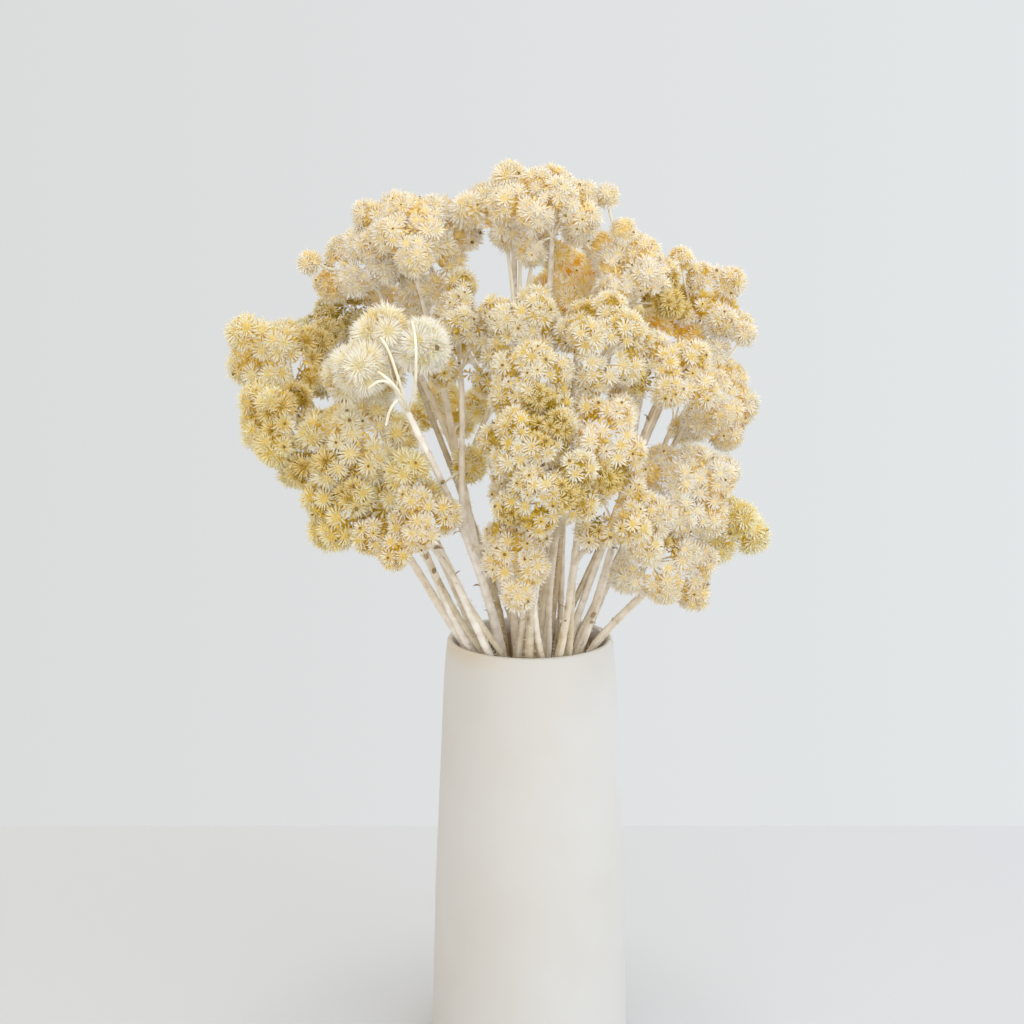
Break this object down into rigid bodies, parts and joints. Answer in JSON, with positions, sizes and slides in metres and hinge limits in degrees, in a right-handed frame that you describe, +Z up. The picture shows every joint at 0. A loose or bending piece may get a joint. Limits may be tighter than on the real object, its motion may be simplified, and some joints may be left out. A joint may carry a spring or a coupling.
{
  "type": "vase_of_dried_flowers",
  "caption": "A matte cream ceramic vase holding a full bunch of dried cream and straw-yellow asters on woolly beige stalks.",
  "frame": {"origin": "The centre of the vase's flat base, on the plane it stands on.", "axes": "+Z up along the vase's axis, +X to the right as seen in the picture, +Y away from the viewer, -Y is the front."},
  "size_m": [0.2669, 0.2462, 0.4487],
  "materials": {
    "flowers_amber_back_bracts": "matte",
    "flowers_back_centre_bracts": "matte",
    "flowers_back_left_bracts": "matte",
    "flowers_back_low_left_bracts": "matte",
    "flowers_back_low_right_bracts": "matte",
    "flowers_back_middle_bracts": "matte",
    "flowers_back_right_bracts": "matte",
    "flowers_back_upper_bracts": "matte",
    "flowers_centre_bracts": "matte",
    "flowers_centre_low_bracts": "matte",
    "flowers_centre_mid_bracts": "matte",
    "flowers_centre_right_bracts": "matte",
    "flowers_centre_top_bracts": "matte",
    "flowers_crown_left_bracts": "matte",
    "flowers_crown_right_bracts": "matte",
    "flowers_far_left_bracts": "matte",
    "flowers_far_right_bracts": "matte",
    "flowers_front_lowest_bracts": "matte",
    "flowers_front_right_bracts": "matte",
    "flowers_front_right_low_bracts": "matte",
    "flowers_left_back_bracts": "matte",
    "flowers_left_centre_bracts": "matte",
    "flowers_left_front_bracts": "matte",
    "flowers_left_front_low_bracts": "matte",
    "flowers_left_low_bracts": "matte",
    "flowers_left_lowest_bracts": "matte",
    "flowers_left_mid_bracts": "matte",
    "flowers_left_yellow_bracts": "matte",
    "flowers_pale_front_bracts": "matte",
    "flowers_right_amber_bracts": "matte",
    "flowers_right_back_bracts": "matte",
    "flowers_right_front_bracts": "matte",
    "flowers_right_low_bracts": "matte",
    "flowers_right_lowest_bracts": "matte",
    "flowers_right_side_bracts": "matte",
    "flowers_right_top_bracts": "matte",
    "flowers_top_left_bracts": "matte",
    "flowers_top_left_inner_bracts": "matte",
    "flowers_top_left_outer_bracts": "matte",
    "flowers_upper_right_bracts": "matte",
    "stem_01_stalk": "matte",
    "stem_02_stalk": "matte",
    "stem_03_stalk": "matte",
    "stem_04_stalk": "matte",
    "stem_05_stalk": "matte",
    "stem_06_stalk": "matte",
    "stem_07_stalk": "matte",
    "stem_08_stalk": "matte",
    "stem_09_stalk": "matte",
    "stem_10_stalk": "matte",
    "stem_11_stalk": "matte",
    "stem_12_stalk": "matte",
    "stem_13_stalk": "matte",
    "stem_14_stalk": "matte",
    "stem_15_stalk": "matte",
    "stem_16_stalk": "matte",
    "stem_17_stalk": "matte",
    "stem_18_stalk": "matte",
    "stem_19_stalk": "matte",
    "vase_ceramic": "matte"
  },
  "bodies": {
    "root": {"flowers_amber_back": "flowers_amber_back_bracts", "flowers_back_centre": "flowers_back_centre_bracts", "flowers_back_left": "flowers_back_left_bracts", "flowers_back_low_left": "flowers_back_low_left_bracts", "flowers_back_low_right": "flowers_back_low_right_bracts", "flowers_back_middle": "flowers_back_middle_bracts", "flowers_back_right": "flowers_back_right_bracts", "flowers_back_upper": "flowers_back_upper_bracts", "flowers_centre": "flowers_centre_bracts", "flowers_centre_low": "flowers_centre_low_bracts", "flowers_centre_mid": "flowers_centre_mid_bracts", "flowers_centre_right": "flowers_centre_right_bracts", "flowers_centre_top": "flowers_centre_top_bracts", "flowers_crown_left": "flowers_crown_left_bracts", "flowers_crown_right": "flowers_crown_right_bracts", "flowers_far_left": "flowers_far_left_bracts", "flowers_far_right": "flowers_far_right_bracts", "flowers_front_lowest": "flowers_front_lowest_bracts", "flowers_front_right": "flowers_front_right_bracts", "flowers_front_right_low": "flowers_front_right_low_bracts", "flowers_left_back": "flowers_left_back_bracts", "flowers_left_centre": "flowers_left_centre_bracts", "flowers_left_front": "flowers_left_front_bracts", "flowers_left_front_low": "flowers_left_front_low_bracts", "flowers_left_low": "flowers_left_low_bracts", "flowers_left_lowest": "flowers_left_lowest_bracts", "flowers_left_mid": "flowers_left_mid_bracts", "flowers_left_yellow": "flowers_left_yellow_bracts", "flowers_pale_front": "flowers_pale_front_bracts", "flowers_right_amber": "flowers_right_amber_bracts", "flowers_right_back": "flowers_right_back_bracts", "flowers_right_front": "flowers_right_front_bracts", "flowers_right_low": "flowers_right_low_bracts", "flowers_right_lowest": "flowers_right_lowest_bracts", "flowers_right_side": "flowers_right_side_bracts", "flowers_right_top": "flowers_right_top_bracts", "flowers_top_left": "flowers_top_left_bracts", "flowers_top_left_inner": "flowers_top_left_inner_bracts", "flowers_top_left_outer": "flowers_top_left_outer_bracts", "flowers_upper_right": "flowers_upper_right_bracts", "stem_01": "stem_01_stalk", "stem_02": "stem_02_stalk", "stem_03": "stem_03_stalk", "stem_04": "stem_04_stalk", "stem_05": "stem_05_stalk", "stem_06": "stem_06_stalk", "stem_07": "stem_07_stalk", "stem_08": "stem_08_stalk", "stem_09": "stem_09_stalk", "stem_10": "stem_10_stalk", "stem_11": "stem_11_stalk", "stem_12": "stem_12_stalk", "stem_13": "stem_13_stalk", "stem_14": "stem_14_stalk", "stem_15": "stem_15_stalk", "stem_16": "stem_16_stalk", "stem_17": "stem_17_stalk", "stem_18": "stem_18_stalk", "stem_19": "stem_19_stalk", "vase": "vase_ceramic"}
  },
  "joints": []
}
